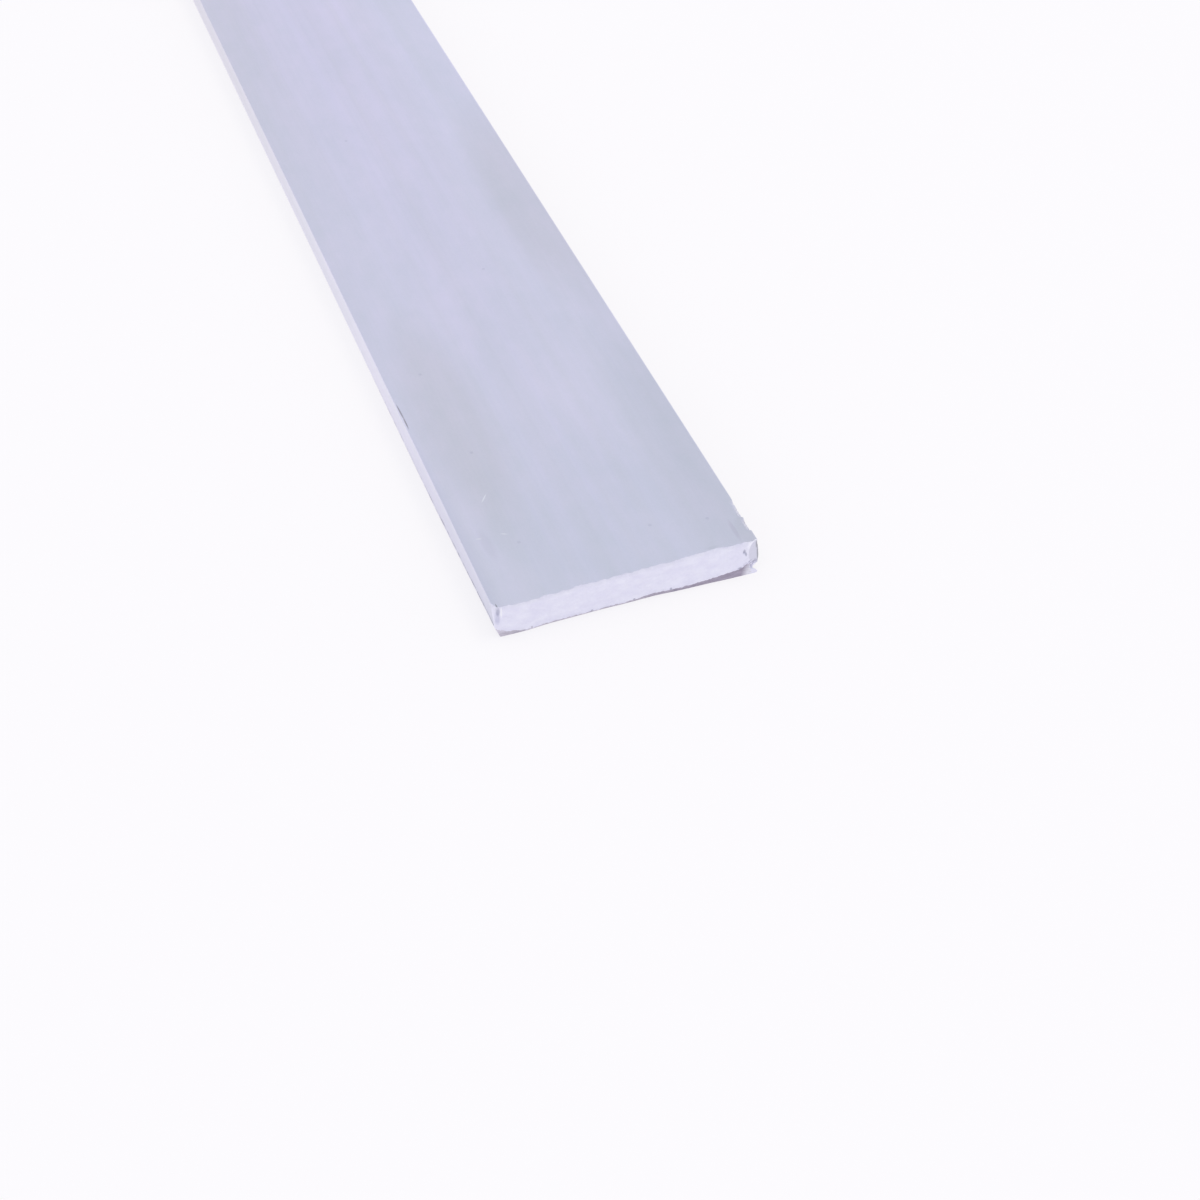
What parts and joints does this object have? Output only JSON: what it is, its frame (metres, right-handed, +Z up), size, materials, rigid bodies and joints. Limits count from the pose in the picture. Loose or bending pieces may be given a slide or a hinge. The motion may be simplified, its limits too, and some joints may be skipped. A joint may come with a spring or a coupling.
{
  "type": "metal flat bar",
  "caption": "Straight aluminium flat bar of rectangular section with crisp top edges and softer bottom ones, a wavy sawn end with worn corners and a square far end, lying flat.",
  "frame": {"origin": "middle of the underside, at half the width and half the length", "axes": "+X across the width, +Y along the length away from the rough sawn end, +Z up through the thickness"},
  "size_m": [0.02, 0.3, 0.003],
  "materials": {
    "bar_aluminium": "mill finish: as extruded, satin, with faint lengthwise die lines; the sawn end is brighter and rough"
  },
  "bodies": {
    "root": {"flat_bar": "bar_aluminium"}
  },
  "joints": []
}
